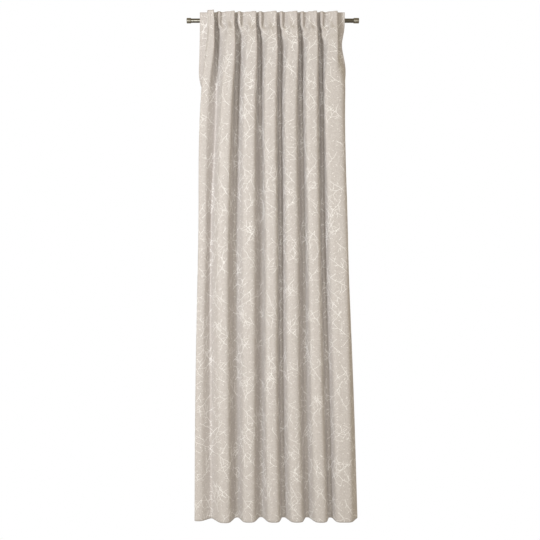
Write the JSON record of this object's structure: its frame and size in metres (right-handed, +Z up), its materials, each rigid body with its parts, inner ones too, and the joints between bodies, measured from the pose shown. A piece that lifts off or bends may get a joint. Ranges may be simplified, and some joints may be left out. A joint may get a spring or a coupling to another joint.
{
  "type": "tab top blackout curtain on rod",
  "caption": "Long curtain of patterned blackout cloth in uneven folds, hung by hidden tabs on its back from a short plain round rod with cylindrical end caps.",
  "frame": {"origin": "on the rod's axis, at the middle of the rod's length", "axes": "+X along the rod to the right as seen from the front, +Z up, the front of the curtain faces -Y"},
  "size_m": [0.8267, 0.1435, 2.45],
  "materials": {
    "panel_cloth": "warm sand coloured dense weave with fine near-white branching twigs",
    "tab_cloth": "the same cloth, plain reverse",
    "rod_metal": "brushed nickel tone",
    "cap_metal": "brushed nickel tone, slightly darker"
  },
  "bodies": {
    "root": {"curtain_panel": "panel_cloth", "tab_1": "tab_cloth", "tab_2": "tab_cloth", "tab_3": "tab_cloth", "tab_4": "tab_cloth", "tab_5": "tab_cloth", "tab_6": "tab_cloth", "tab_7": "tab_cloth", "tab_8": "tab_cloth", "rod_tube": "rod_metal", "end_cap_left": "cap_metal", "end_cap_right": "cap_metal"}
  },
  "joints": []
}
